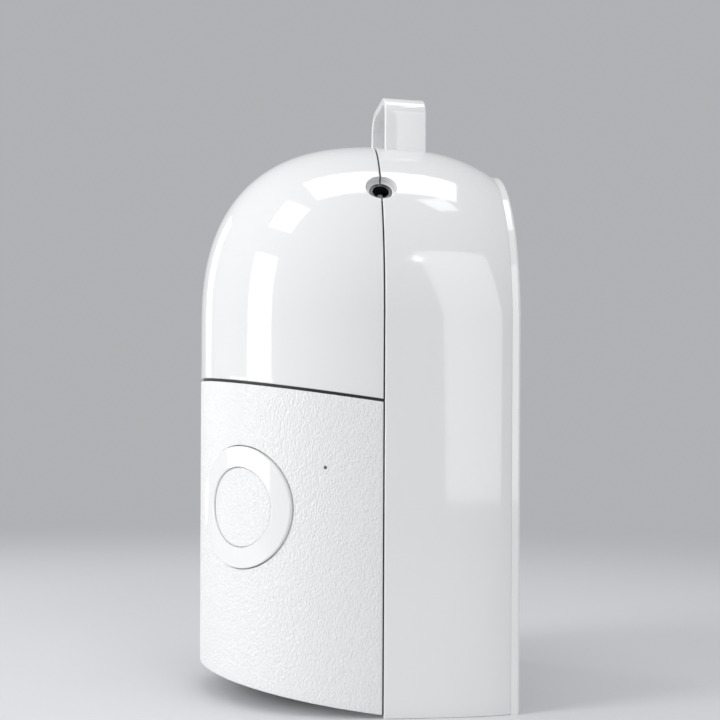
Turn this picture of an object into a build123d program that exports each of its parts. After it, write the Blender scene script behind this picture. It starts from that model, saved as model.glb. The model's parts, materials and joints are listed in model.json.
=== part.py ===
from build123d import *
import math
import os

# Portable light lamp for curing nail varnish: a domed tunnel that stands on its open end.
# The crown of the tunnel faces -Y, its flat base faces +Y, and the hand goes in from below.
# All sizes are in millimetres and all angles in degrees.

# Outer form of the body
crown_depth = 64.5          # from the body's axis to the crown
half_width = 52.0           # from the axis to each side
base_depth = 42.1           # from the axis to the face that the base plate sits on
seam_shift = -1.1           # from the axis to the seam between front and rear
dome_start = 132.8          # height at which the dome begins
dome_height = 68.4
dome_power_depth = 2.5      # roundness of the dome seen from the side, 2 is an ellipse
dome_power_width = 2.0      # roundness of the dome seen from the front
rear_power_low = 4.0        # squareness of the rear half of the tunnel
rear_power_top = 2.4        # squareness of the rear half at the top of the dome
rake_angle = 8.0            # slant of the mouth's front rim and of the groove
rim_height = 1.1            # height of the front rim where it meets the rear shell
groove_height = 104.5       # height of the groove on the body's axis

# Walls and gaps
cover_wall = 2.0
carrier_wall = 1.2
rear_wall = 3.6
seam_gap = 0.5
groove_gap = 1.0
fit_gap = 0.1               # between fixed pieces that lie on each other
slide_gap = 0.25            # round the push button

# Base plate and what holds it
base_thickness = 3.0
base_edge_round = 1.0
seat_thickness = 3.0
pad_radius = 6.0
pad_thickness = 1.2
pad_proud = 0.6
magnet_radius = 2.5
magnet_thickness = 2.0
keeper_thickness = 1.0
magnet_heights = (38.0, 100.0)
upper_magnet_spot = (18.0, 154.0)
pad_spot = (26.0, 22.0, 140.0)   # distance from the middle, height of the lower and upper pads

# Carrying loop
loop_half_span = 14.5
loop_width = 15.2
loop_thickness = 2.6
loop_bend = 7.8             # outer radius of the two upper corners
loop_top = 217.5
loop_spot = (3.5, 8.7)      # from the body's axis to the loop's middle, sideways and towards the base
loop_turn = 5.0             # about the upright, with the leg on the far side nearer to the crown
loop_sink = 12.0            # from the top of the dome down to the ends of the loop's legs
loop_edge_round = 0.5

# Push button and its ring
button_angle = 49.1         # round the front half, 0 at the side and 90 at the crown
button_height = 68.5
ring_radius = 20.9
ring_gap = 0.5
ring_proud = 0.9
cap_radius = 13.6
cap_proud = 0.3
cap_wall = 1.9
flange_width = 1.3
flange_thickness = 0.9
button_travel = 0.8
stem_radius = 3.0
stem_length = 2.2

# Switch behind the button
plunger_radius = 1.7
plunger_spare = 0.5         # of the plunger still showing when the button is pressed
plunger_length = button_travel + plunger_spare
switch_side = 6.0
switch_height = 2.6
board_thickness = 1.0
switch_board_length = 39.0
switch_board_width = 12.0
post_radius = 1.8

# Status light
status_angle = 18.3
status_height = 82.5
status_radius = 0.6

# Power socket
socket_height = 178.0
socket_tilt = 34.0          # of its axis above the horizontal
recess_radius = 5.4
recess_depth = 2.3
socket_radius = 3.9
socket_nose_length = 2.0
socket_bore_radius = 2.85
socket_bore_depth = 9.0
socket_body_side = 9.0
socket_body_length = 9.0
socket_pin_radius = 0.9
socket_pin_length = 7.0

# Reflector that lines the hand space
liner_inset = 10.6          # from the outer form to the reflector's outer face
liner_wall = 1.4
liner_height = 138.0        # of the hand space
mouth_rise = 0.8            # of the reflector's mouth flange above the rims
mouth_wall = 1.6

# Lights
light_board_inset = 9.2
light_rows = 5
light_row_first = 22.0
light_row_pitch = 23.0
crown_light_angles = (68.0, 90.0, 112.0)
side_light_angles = (14.0, 36.0)
bead_radius = 2.4
bead_length = 3.2
bead_clearance = 0.3
light_board_margin = 6.5    # from the outermost light to the board's edge

# Cells, tray and main board
cell_radius = 9.2
cell_length = 65.2
cell_pitch = 18.9
cell_front = 9.1            # from the axis to the first cell's centre
tray_wall = 1.4
tray_clearance = 0.3
main_board_width = 62.0
main_board_depth = 36.0
main_board_rear = 2.0       # from the axis to the board's rear edge, towards the crown
standoff_height = 5.0
standoff_radius = 2.2
chip_sizes = ((9.0, 9.0, 1.6), (6.0, 5.0, 1.4), (12.0, 10.0, 5.0))
chip_spots = ((-14.0, 4.0), (4.0, 8.0), (18.0, -6.0))

# Hand sensor
sensor_radius = 2.5
sensor_depth = 12.0         # from the axis towards the crown
sensor_window_thickness = 0.8

# Screws
boss_radius = 3.2
boss_hole_radius = 1.1
screw_radius = 1.0
screw_head_radius = 2.0
screw_head_height = 1.4
screw_length = 20.0
boss_low = 12.0
boss_high = 129.0
boss_front_length = 12.0
screw_tip_gap = 2.5          # between a screw's end and the floor of its hole
boss_bite = 0.3             # how far a boss sinks into its wall

# Seals in the seam and the groove
seal_width = 1.6
seal_inset = 0.9

# Tongue on the rear shell that closes the seam from inside
tongue_wall = 1.5
tongue_reach = 3.0          # to each side of the seam
tongue_start = 5.0

# The origin is below the middle of the body, so the body's axis stands a little behind it
overall_rear = base_depth + base_thickness + pad_proud
axis_y = (crown_depth - overall_rear) / 2
crown = -crown_depth

# Heights and shares at which the dome's sections are drawn
dome_steps = (-18.0, -9.0, 0.0)
dome_angles = (14, 28, 41, 53, 63, 71, 78, 83.5, 87.5)
section_points = 36
section_start = -2          # steps from the side to the first point, so that it lies clear of all openings
outline_steps = 10          # of the base plate's outline, on each side of the dome's top


def at(x, y, z):
    """A point given from the body's axis, in the model's own frame."""
    return (x, y + axis_y, z)


def level(height):
    """The horizontal plane at a height, centred on the body's axis."""
    return Plane(at(0, 0, height))


def across(depth):
    """The upright plane that crosses the body at a distance behind its axis, facing the base."""
    return Plane(at(0, depth, 0), x_dir=(1, 0, 0), z_dir=(0, 1, 0))


rake_direction = Vector(0, math.sin(math.radians(rake_angle)), math.cos(math.radians(rake_angle)))
rim_plane = Plane(at(0, 0, rim_height), x_dir=(1, 0, 0), z_dir=rake_direction)
groove_plane = Plane(at(0, 0, groove_height), x_dir=(1, 0, 0), z_dir=rake_direction)


def form_sizes(height, inset):
    """Depth, width and rear squareness of the body's section at a height."""
    rise = min(max((height - dome_start) / (dome_height - inset), 0.0), 1.0)
    depth = (crown_depth - inset) * (1 - rise**dome_power_depth) ** (1 / dome_power_depth)
    width = (half_width - inset) * (1 - rise**dome_power_width) ** (1 / dome_power_width)
    power = rear_power_low + (rear_power_top - rear_power_low) * rise
    return depth, width, power


def section_outline(height, inset):
    """Points of the section: a half ellipse in front and a squarer half behind."""
    depth, width, rear_power = form_sizes(height, inset)
    points = []
    for step in range(section_points):
        turn = 2 * math.pi * (step + section_start) / section_points
        power = rear_power if math.sin(turn) > 0 else 2.0
        across = abs(math.cos(turn) / width) ** power
        along = abs(math.sin(turn) / depth) ** power
        reach = (across + along) ** (-1 / power)
        points.append((reach * math.cos(turn), reach * math.sin(turn)))
    return points


def tunnel(inset, bottom, top):
    """The straight lower part of the body's form, drawn in by an inset."""
    with BuildPart() as tunnel_form:
        with BuildSketch(level(bottom)):
            with BuildLine():
                Spline(*section_outline(0, inset), periodic=True)
            make_face()
        extrude(amount=top - bottom)
    return tunnel_form.part


def dome(inset):
    """The domed upper part of the body's form, drawn in by an inset."""
    rise = dome_height - inset
    heights = [dome_start + step for step in dome_steps]
    heights += [dome_start + rise * math.sin(math.radians(angle)) for angle in dome_angles]
    with BuildPart() as dome_form:
        for height in heights:
            with BuildSketch(level(height)):
                with BuildLine():
                    Spline(*section_outline(height, inset), periodic=True)
                make_face()
        loft()
    return dome_form.part


def body_form(inset, bottom=0.0):
    """The whole outer form drawn in by an inset: tunnel and dome in one."""
    joint_height = dome_start + dome_steps[0]
    with BuildPart() as form:
        add(tunnel(inset, bottom, joint_height))
        add(dome(inset))
    return form.part


def front_point(angle, height, outward=0.0):
    """A plane on the front half of the tunnel, facing straight out of its surface."""
    turn = math.radians(angle)
    x = half_width * math.cos(turn)
    y = -crown_depth * math.sin(turn)
    normal = Vector(math.cos(turn) / half_width, -math.sin(turn) / crown_depth, 0).normalized()
    tangent = Vector(normal.Y, -normal.X, 0)
    place = Plane(at(x, y, height), x_dir=tangent, z_dir=normal)
    return place.offset(outward)


def liner_point(angle, height, inset):
    """The same kind of plane on a form that is drawn in by an inset."""
    turn = math.radians(angle)
    x = (half_width - inset) * math.cos(turn)
    y = -(crown_depth - inset) * math.sin(turn)
    normal = Vector(
        math.cos(turn) / (half_width - inset), -math.sin(turn) / (crown_depth - inset), 0
    ).normalized()
    return Plane(at(x, y, height), x_dir=(0, 0, 1), z_dir=normal)


def cylinder_on(place, radius, start, length):
    """A round bar on a plane, from a distance along its normal."""
    with BuildPart() as bar:
        with BuildSketch(place.offset(start)):
            Circle(radius)
        extrude(amount=length)
    return bar.part


outer_form = body_form(0)
cover_inner_form = body_form(cover_wall)
carrier_outer_form = body_form(cover_wall + fit_gap)
carrier_inset = cover_wall + fit_gap + carrier_wall
carrier_inner_form = body_form(carrier_inset, bottom=-rear_wall)
tongue_inset = carrier_inset + fit_gap

# Where the rear shell ends, and where its seat for the base plate begins
front_start = seam_shift - seam_gap / 2
rear_start = seam_shift + seam_gap / 2
front_edge = across(front_start)
rear_edge = across(rear_start)
base_face = across(base_depth)
seat_face = across(base_depth - seat_thickness)

# The button works along the surface's own normal
button_plane = front_point(button_angle, button_height)
status_plane = front_point(status_angle, status_height)
flange_inset = cover_wall + slide_gap
cap_floor_inset = flange_inset + flange_thickness
stem_end = -cap_wall - stem_length
switch_top = stem_end - plunger_length
switch_floor = switch_top - switch_height
switch_board_back = switch_floor - board_thickness
cap_hole_radius = cap_radius + flange_width + slide_gap
post_spot = switch_board_length / 2 - post_radius

# The socket sits in the seam, at the height where the dome's edge meets its axis
socket_rise = (socket_height - dome_start) / dome_height
socket_x = half_width * (1 - socket_rise**dome_power_width) ** (1 / dome_power_width)
socket_turn = math.radians(socket_tilt)
socket_direction = Vector(math.cos(socket_turn), 0, math.sin(socket_turn))
socket_plane = Plane(at(socket_x, seam_shift, socket_height), x_dir=(0, 1, 0), z_dir=socket_direction)
recess_cut = cylinder_on(socket_plane, recess_radius, -recess_depth, 4 * recess_depth)
nose_cut = cylinder_on(socket_plane, socket_radius + fit_gap, -4 * rear_wall, 4 * rear_wall)
with BuildPart() as socket_room:
    with BuildSketch(socket_plane.offset(-recess_depth)):
        Rectangle(socket_body_side + 2 * fit_gap, socket_body_side + 2 * fit_gap)
    extrude(amount=-socket_nose_length - socket_body_length)

# The case screws run along Y, in bosses at the sides of the hand space
boss_x = half_width - rear_wall + boss_bite - boss_radius
boss_spots = [(side * boss_x, height) for side in (-1, 1) for height in (boss_low, boss_high)]
screw_tip = front_start - boss_front_length + screw_tip_gap
screw_seat = screw_tip + screw_length

# Front dome cover
with BuildPart() as front_dome_shell:
    add(outer_form)
    add(cover_inner_form, mode=Mode.SUBTRACT)
    split(bisect_by=front_edge, keep=Keep.BOTTOM)
    split(bisect_by=groove_plane.offset(groove_gap / 2), keep=Keep.TOP)
    add(recess_cut, mode=Mode.SUBTRACT)
front_dome_shell.part.label = "front_dome_shell"

# Front panel below the groove, with the opening for the button's ring
with BuildPart() as front_panel:
    add(outer_form)
    add(cover_inner_form, mode=Mode.SUBTRACT)
    split(bisect_by=front_edge, keep=Keep.BOTTOM)
    split(bisect_by=groove_plane.offset(-groove_gap / 2), keep=Keep.BOTTOM)
    split(bisect_by=rim_plane, keep=Keep.TOP)
    add(cylinder_on(button_plane, ring_radius + ring_gap, -ring_radius / 2, ring_radius), mode=Mode.SUBTRACT)
    add(cylinder_on(status_plane, status_radius, -rear_wall, 2 * rear_wall), mode=Mode.SUBTRACT)
front_panel.part.label = "front_panel"

# Carrier shell that both front covers and the reflector are fixed to
with BuildPart() as front_carrier:
    add(carrier_outer_form)
    add(carrier_inner_form, mode=Mode.SUBTRACT)
    for x, height in boss_spots:
        boss_place = Plane(at(x, front_start, height), x_dir=(1, 0, 0), z_dir=(0, -1, 0))
        add(cylinder_on(boss_place, boss_radius, 0, boss_front_length))
        add(cylinder_on(boss_place, boss_hole_radius, 0, boss_front_length - fit_gap), mode=Mode.SUBTRACT)
    for spot in (-post_spot, post_spot):
        post_place = button_plane.shift_origin(button_plane.from_local_coords(Vector(0, spot, 0)))
        add(cylinder_on(post_place, post_radius, switch_floor, -switch_floor))
    add(carrier_outer_form, mode=Mode.INTERSECT)
    split(bisect_by=front_edge, keep=Keep.BOTTOM)
    split(bisect_by=rim_plane.offset(mouth_rise + mouth_wall + fit_gap), keep=Keep.TOP)
    add(cylinder_on(button_plane, cap_hole_radius, -ring_radius / 2, ring_radius), mode=Mode.SUBTRACT)
    add(recess_cut, mode=Mode.SUBTRACT)
    add(nose_cut, mode=Mode.SUBTRACT)
front_carrier.part.label = "front_carrier"


# Carrying loop: a bent strip whose legs pass through the rear shell
loop_direction = Vector(math.cos(math.radians(loop_turn)), math.sin(math.radians(loop_turn)), 0)


def loop_blank(grown=0.0):
    """The loop's strip, from below the shell to its top, grown all round by a gap."""
    foot = dome_start + dome_height - loop_sink
    across = 2 * (loop_half_span + grown)
    inner = across - 2 * (loop_thickness + 2 * grown)
    middle = Plane(at(*loop_spot, 0), x_dir=loop_direction, z_dir=(loop_direction.Y, -loop_direction.X, 0))
    with BuildPart() as strip:
        with BuildSketch(middle.offset(loop_width / 2 + grown)):
            with BuildLine():
                FilletPolyline(
                    (-across / 2, foot), (-across / 2, loop_top + grown),
                    (across / 2, loop_top + grown), (across / 2, foot), radius=loop_bend + grown,
                )
                Polyline((across / 2, foot), (inner / 2, foot))
                FilletPolyline(
                    (inner / 2, foot), (inner / 2, loop_top - loop_thickness - grown),
                    (-inner / 2, loop_top - loop_thickness - grown), (-inner / 2, foot),
                    radius=loop_bend - loop_thickness - grown,
                )
                Polyline((-inner / 2, foot), (-across / 2, foot))
            make_face()
        extrude(amount=-loop_width - 2 * grown)
    return strip.part


loop_slots = loop_blank(fit_gap)
with BuildPart() as carry_loop:
    add(loop_blank())
    width_axis = Axis(at(*loop_spot, 0), (-loop_direction.Y, loop_direction.X, 0))
    long_edges = carry_loop.edges().filter_by(width_axis, reverse=True)
    fillet(long_edges.filter_by_position(Axis.Z, loop_top - 2 * loop_bend, loop_top), loop_edge_round)
carry_loop.part.label = "carry_loop"

# Rear shell: side walls, dome, the seat for the base plate, bosses and the seam's tongue
with BuildPart() as rear_room:
    add(body_form(rear_wall, bottom=-rear_wall))
    split(bisect_by=seat_face, keep=Keep.BOTTOM)
with BuildPart() as tongue:
    add(body_form(tongue_inset, bottom=tongue_start))
    add(body_form(tongue_inset + tongue_wall), mode=Mode.SUBTRACT)
    split(bisect_by=across(seam_shift - tongue_reach), keep=Keep.TOP)
    split(bisect_by=across(seam_shift + tongue_reach), keep=Keep.BOTTOM)
    for x, height in boss_spots:
        boss_place = Plane(at(x, seam_shift, height), x_dir=(1, 0, 0), z_dir=(0, -1, 0))
        add(cylinder_on(boss_place, boss_radius + boss_bite, 0, tongue_reach), mode=Mode.SUBTRACT)
    add(socket_room.part, mode=Mode.SUBTRACT)
with BuildPart() as rear_shell:
    add(outer_form)
    split(bisect_by=rear_edge, keep=Keep.TOP)
    split(bisect_by=base_face, keep=Keep.BOTTOM)
    add(rear_room.part, mode=Mode.SUBTRACT)
    add(tunnel(liner_inset - fit_gap, -rear_wall, liner_height + liner_wall + fit_gap), mode=Mode.SUBTRACT)
    add(tongue.part)
    for x, height in boss_spots:
        boss_place = Plane(at(x, rear_start, height), x_dir=(1, 0, 0), z_dir=(0, 1, 0))
        add(cylinder_on(boss_place, boss_radius, 0, base_depth - seat_thickness - rear_start + boss_bite))
    for x, height in boss_spots:
        boss_place = Plane(at(x, 0, height), x_dir=(1, 0, 0), z_dir=(0, 1, 0))
        add(cylinder_on(boss_place, boss_hole_radius, screw_tip, screw_length), mode=Mode.SUBTRACT)
        head_room = screw_head_radius + 2 * fit_gap
        add(cylinder_on(boss_place, head_room, screw_seat, base_depth), mode=Mode.SUBTRACT)
    add(recess_cut, mode=Mode.SUBTRACT)
    add(nose_cut, mode=Mode.SUBTRACT)
    add(loop_slots, mode=Mode.SUBTRACT)
    magnet_spots = [(side * boss_x, height) for side in (-1, 1) for height in magnet_heights]
    magnet_spots += [(side * upper_magnet_spot[0], upper_magnet_spot[1]) for side in (-1, 1)]
    for x, height in magnet_spots:
        keeper_place = Plane(at(x, base_depth, height), x_dir=(1, 0, 0), z_dir=(0, 1, 0))
        add(cylinder_on(keeper_place, magnet_radius, -keeper_thickness, rear_wall), mode=Mode.SUBTRACT)
rear_shell.part.label = "rear_shell"


# Base plate that the magnets hold on, with the outline of the rear shell's open face
def base_point(share):
    """A point of the outline over the dome: share 1 is where the dome starts and 0 is the top."""
    top_rise = dome_height * (1 - (base_depth / crown_depth) ** dome_power_depth) ** (1 / dome_power_depth)
    height = dome_start + top_rise * (1 - abs(share) ** rear_power_top)
    depth, width, power = form_sizes(height, 0)
    across_share = max(1 - (base_depth / depth) ** power, 0.0)
    return math.copysign(width * across_share ** (1 / power), share), height


outline_shares = [1 - step / outline_steps for step in range(2 * outline_steps + 1)]
outline_points = [base_point(share) for share in outline_shares]
outline_foot = outline_points[0][0]
pad_places = [
    Plane(at(side * pad_spot[0], base_depth + base_thickness, height), x_dir=(1, 0, 0), z_dir=(0, 1, 0))
    for side in (-1, 1) for height in pad_spot[1:]
]
with BuildPart() as base_plate:
    outline_plane = Plane(at(0, base_depth + base_thickness, 0), x_dir=(1, 0, 0), z_dir=(0, -1, 0))
    with BuildSketch(outline_plane):
        with BuildLine():
            Spline(*outline_points, tangents=((0, 1), (0, -1)))
            Polyline(outline_points[-1], (-outline_foot, 0), (outline_foot, 0), outline_points[0])
        make_face()
    extrude(amount=base_thickness)
    fillet(base_plate.faces().sort_by(Axis.Y)[-1].edges(), base_edge_round)
    for x, height in magnet_spots:
        magnet_place = Plane(at(x, base_depth, height), x_dir=(1, 0, 0), z_dir=(0, 1, 0))
        add(cylinder_on(magnet_place, magnet_radius, 0, magnet_thickness), mode=Mode.SUBTRACT)
    for place in pad_places:
        add(cylinder_on(place, pad_radius, pad_proud - pad_thickness, pad_thickness), mode=Mode.SUBTRACT)
base_plate.part.label = "base_plate"

with BuildPart() as base_magnets:
    for x, height in magnet_spots:
        magnet_place = Plane(at(x, base_depth, height), x_dir=(1, 0, 0), z_dir=(0, 1, 0))
        add(cylinder_on(magnet_place, magnet_radius, fit_gap, magnet_thickness - fit_gap))
base_magnets.part.label = "base_magnets"

with BuildPart() as keeper_discs:
    for x, height in magnet_spots:
        keeper_place = Plane(at(x, base_depth, height), x_dir=(1, 0, 0), z_dir=(0, 1, 0))
        add(cylinder_on(keeper_place, magnet_radius, -keeper_thickness, keeper_thickness - fit_gap))
keeper_discs.part.label = "keeper_discs"

with BuildPart() as rest_pads:
    for place in pad_places:
        add(cylinder_on(place, pad_radius, pad_proud - pad_thickness, pad_thickness))
rest_pads.part.label = "rest_pads"

# Glossy ring that stands proud of the panel round the button
with BuildPart() as button_ring:
    add(tunnel(-ring_proud, 0, dome_start))
    add(tunnel(cover_wall, -rear_wall, dome_start + rear_wall), mode=Mode.SUBTRACT)
    add(cylinder_on(button_plane, ring_radius, -ring_radius / 2, ring_radius), mode=Mode.INTERSECT)
    add(cylinder_on(button_plane, cap_radius + slide_gap, -ring_radius, 2 * ring_radius), mode=Mode.SUBTRACT)
button_ring.part.label = "button_ring"

# Push button: a curved cap with a hidden flange that stops it against the ring
with BuildPart() as cap_flange:
    add(tunnel(flange_inset, 0, dome_start))
    add(cylinder_on(button_plane, cap_radius + flange_width, -ring_radius / 2, ring_radius), mode=Mode.INTERSECT)
with BuildPart() as cap_pocket:
    add(tunnel(cap_wall, 0, dome_start))
    add(cylinder_on(button_plane, cap_radius - flange_width, -ring_radius / 2, ring_radius), mode=Mode.INTERSECT)
with BuildPart() as button_cap:
    add(tunnel(-cap_proud, 0, dome_start))
    add(cylinder_on(button_plane, cap_radius, -ring_radius / 2, ring_radius), mode=Mode.INTERSECT)
    add(cap_flange.part)
    add(cap_pocket.part, mode=Mode.SUBTRACT)
    add(tunnel(cap_floor_inset, -rear_wall, dome_start + rear_wall), mode=Mode.SUBTRACT)
    add(cylinder_on(button_plane, stem_radius, stem_end, stem_length + cap_wall / 2))
button_cap.part.label = "button_cap"

# Switch under the button, on its own small board
with BuildPart() as switch_plunger:
    add(cylinder_on(button_plane, plunger_radius, switch_top - fit_gap, plunger_length + fit_gap))
switch_plunger.part.label = "switch_plunger"

with BuildPart() as switch_body:
    with BuildSketch(button_plane.offset(switch_floor)):
        Rectangle(switch_side, switch_side)
        Circle(plunger_radius + fit_gap, mode=Mode.SUBTRACT)
    extrude(amount=switch_height)
    with BuildSketch(button_plane.offset(switch_floor)):
        Rectangle(switch_side, switch_side)
    extrude(amount=switch_height - plunger_length - fit_gap)
switch_body.part.label = "switch_body"

with BuildPart() as switch_board:
    with BuildSketch(button_plane.offset(switch_board_back)):
        Rectangle(switch_board_width, switch_board_length)
    extrude(amount=board_thickness)
switch_board.part.label = "switch_board"

# Pinhole light that shows the charge
with BuildPart() as status_lens:
    add(cylinder_on(status_plane, status_radius - fit_gap / 2, -cover_wall, cover_wall))
status_lens.part.label = "status_lens"

# Power socket and its centre pin
with BuildPart() as power_socket:
    add(cylinder_on(socket_plane, socket_radius, -recess_depth - socket_nose_length, socket_nose_length))
    with BuildSketch(socket_plane.offset(-recess_depth - socket_nose_length)):
        Rectangle(socket_body_side, socket_body_side)
    extrude(amount=-socket_body_length)
    add(
        cylinder_on(socket_plane, socket_bore_radius, -recess_depth - socket_bore_depth, 2 * socket_bore_depth),
        mode=Mode.SUBTRACT,
    )
power_socket.part.label = "power_socket"

with BuildPart() as socket_pin:
    add(cylinder_on(socket_plane, socket_pin_radius, -recess_depth - socket_bore_depth, socket_pin_length))
socket_pin.part.label = "socket_pin"

# Reflector: a closed tunnel with a hole for every light, standoffs and a mouth flange
light_heights = [light_row_first + row * light_row_pitch for row in range(light_rows)]
light_angles = [*crown_light_angles, *side_light_angles]
light_angles += [180 - angle for angle in side_light_angles]
board_inset = light_board_inset + board_thickness
bead_places = [
    liner_point(angle, height, board_inset) for angle in light_angles for height in light_heights
]
main_board_front = -main_board_rear - main_board_depth
standoff_spots = [
    (side * (main_board_width / 2 - standoff_radius), y)
    for side in (-1, 1)
    for y in (-main_board_rear - standoff_radius, main_board_front + standoff_radius)
]
liner_top = liner_height + liner_wall
main_board_floor = liner_top + standoff_height
with BuildPart() as mouth_front:
    add(tunnel(cover_wall + fit_gap, 0, liner_height))
    split(bisect_by=rim_plane.offset(mouth_rise), keep=Keep.TOP)
    split(bisect_by=rim_plane.offset(mouth_rise + mouth_wall), keep=Keep.BOTTOM)
    split(bisect_by=front_edge, keep=Keep.BOTTOM)
with BuildPart() as mouth_rear:
    add(tunnel(rear_wall + fit_gap, mouth_rise, mouth_rise + mouth_wall))
    split(bisect_by=front_edge, keep=Keep.TOP)
    split(bisect_by=across(base_depth - seat_thickness - fit_gap), keep=Keep.BOTTOM)
with BuildPart() as reflector_liner:
    add(tunnel(liner_inset, mouth_rise, liner_top))
    split(bisect_by=rim_plane.offset(mouth_rise), keep=Keep.TOP)
    split(bisect_by=across(base_depth - fit_gap), keep=Keep.BOTTOM)
    add(mouth_front.part)
    add(mouth_rear.part)
    add(tunnel(liner_inset + liner_wall, -rear_wall, liner_height), mode=Mode.SUBTRACT)
    for x, y in standoff_spots:
        with BuildSketch(Plane(at(x, y, liner_top))):
            Circle(standoff_radius)
            Circle(screw_radius + fit_gap, mode=Mode.SUBTRACT)
        extrude(amount=standoff_height)
    for place in bead_places:
        add(cylinder_on(place, bead_radius + bead_clearance, -2 * bead_length, 2 * bead_length), mode=Mode.SUBTRACT)
    with BuildSketch(Plane(at(0, -sensor_depth, liner_height - liner_wall))):
        Circle(sensor_radius + fit_gap)
    extrude(amount=3 * liner_wall, mode=Mode.SUBTRACT)
reflector_liner.part.label = "reflector_liner"


# Light boards: thin curved strips behind the reflector
def light_board(lowest_x, highest_x, lowest_y, highest_y):
    """A strip of the curved board between two widths and two depths."""
    bottom = light_heights[0] - light_board_margin
    top = light_heights[-1] + light_board_margin
    with BuildPart() as strip:
        with BuildSketch(Plane(at((lowest_x + highest_x) / 2, (lowest_y + highest_y) / 2, bottom))):
            Rectangle(highest_x - lowest_x, highest_y - lowest_y)
        extrude(amount=top - bottom)
        add(tunnel(light_board_inset, bottom, top), mode=Mode.INTERSECT)
        add(tunnel(board_inset, bottom - board_thickness, top + board_thickness), mode=Mode.SUBTRACT)
    return strip


def board_edge(angle, reach):
    """A distance out along a light's direction, with the board's margin added."""
    return reach * math.sin(math.radians(angle)) + light_board_margin


board_width = half_width - board_inset
board_depth = crown_depth - board_inset
crown_reach = board_edge(crown_light_angles[-1] - 90, board_width)
crown_light_board = light_board(-crown_reach, crown_reach, crown, crown / 2)
crown_light_board.part.label = "crown_light_board"
side_front = -board_edge(side_light_angles[-1], board_depth)
side_rear = 2 * light_board_margin - board_edge(side_light_angles[0], board_depth)
left_light_board = light_board(-half_width, -board_width / 2, side_front, side_rear)
left_light_board.part.label = "left_light_board"
right_light_board = light_board(board_width / 2, half_width, side_front, side_rear)
right_light_board.part.label = "right_light_board"

# Light beads, all alike, each on its board and through its hole in the reflector
with BuildPart() as light_beads:
    for place in bead_places:
        with BuildSketch(place.offset(-bead_length)):
            Circle(bead_radius)
        extrude(amount=bead_length - fit_gap)
    fillet(light_beads.edges().filter_by(GeomType.CIRCLE).group_by(SortBy.RADIUS)[-1], fit_gap)
light_beads.part.label = "light_beads"

# Cells in their tray on top of the reflector
cell_height = liner_top + tray_wall + tray_clearance + cell_radius
cell_spots = (cell_front, cell_front + cell_pitch)
tray_width = cell_length + 2 * (tray_clearance + tray_wall)
tray_depth = cell_pitch + 2 * (cell_radius + tray_clearance + tray_wall)
tray_middle = cell_front + cell_pitch / 2
with BuildPart() as battery_cells:
    for y in cell_spots:
        with BuildSketch(Plane(at(-cell_length / 2, y, cell_height), x_dir=(0, 1, 0), z_dir=(1, 0, 0))):
            Circle(cell_radius)
        extrude(amount=cell_length)
battery_cells.part.label = "battery_cells"

with BuildPart() as battery_tray:
    with BuildSketch(Plane(at(0, tray_middle, liner_top))):
        Rectangle(tray_width, tray_depth)
    extrude(amount=tray_wall + cell_radius)
    with BuildSketch(Plane(at(0, tray_middle, liner_top + tray_wall))):
        Rectangle(tray_width - 2 * tray_wall, tray_depth - 2 * tray_wall)
    extrude(amount=tray_wall + cell_radius, mode=Mode.SUBTRACT)
battery_tray.part.label = "battery_tray"

# Main board on the reflector's standoffs, with its larger components and screws
with BuildPart() as main_board:
    with BuildSketch(Plane(at(0, -main_board_rear - main_board_depth / 2, main_board_floor))):
        Rectangle(main_board_width, main_board_depth)
    extrude(amount=board_thickness)
    for x, y in standoff_spots:
        with BuildSketch(Plane(at(x, y, main_board_floor))):
            Circle(screw_radius + fit_gap)
        extrude(amount=board_thickness, mode=Mode.SUBTRACT)
main_board.part.label = "main_board"

board_middle = -main_board_rear - main_board_depth / 2
with BuildPart() as board_chips:
    for (length, width, height), (x, y) in zip(chip_sizes, chip_spots):
        with BuildSketch(Plane(at(x, board_middle + y, main_board_floor + board_thickness))):
            Rectangle(length, width)
        extrude(amount=height)
board_chips.part.label = "board_chips"

with BuildPart() as board_screws:
    for x, y in standoff_spots:
        with BuildSketch(Plane(at(x, y, liner_top + fit_gap))):
            Circle(screw_radius)
        extrude(amount=standoff_height + board_thickness)
        with BuildSketch(Plane(at(x, y, main_board_floor + board_thickness))):
            Circle(screw_head_radius)
        extrude(amount=screw_head_height)
board_screws.part.label = "board_screws"

# Screws that draw the rear shell onto the front carrier
with BuildPart() as case_screws:
    for x, height in boss_spots:
        screw_place = Plane(at(x, screw_tip, height), x_dir=(1, 0, 0), z_dir=(0, 1, 0))
        add(cylinder_on(screw_place, screw_radius, 0, screw_length))
        add(cylinder_on(screw_place, screw_head_radius, screw_length, screw_head_height))
case_screws.part.label = "case_screws"

# Sensor that sees the hand, and its window in the reflector's end wall
with BuildPart() as sensor_window:
    with BuildSketch(Plane(at(0, -sensor_depth, liner_height))):
        Circle(sensor_radius)
    extrude(amount=sensor_window_thickness)
sensor_window.part.label = "sensor_window"

with BuildPart() as hand_sensor:
    with BuildSketch(Plane(at(0, -sensor_depth, liner_height + sensor_window_thickness))):
        Circle(sensor_radius - fit_gap)
    extrude(amount=liner_wall + standoff_height - sensor_window_thickness)
hand_sensor.part.label = "hand_sensor"

# Dark seals at the bottom of the seam and of the groove
with BuildPart() as seam_seal:
    add(body_form(seal_inset, bottom=rim_height))
    add(body_form(seal_inset + seal_width), mode=Mode.SUBTRACT)
    split(bisect_by=front_edge, keep=Keep.TOP)
    split(bisect_by=rear_edge, keep=Keep.BOTTOM)
    add(recess_cut, mode=Mode.SUBTRACT)
    add(nose_cut, mode=Mode.SUBTRACT)
seam_seal.part.label = "seam_seal"

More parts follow.
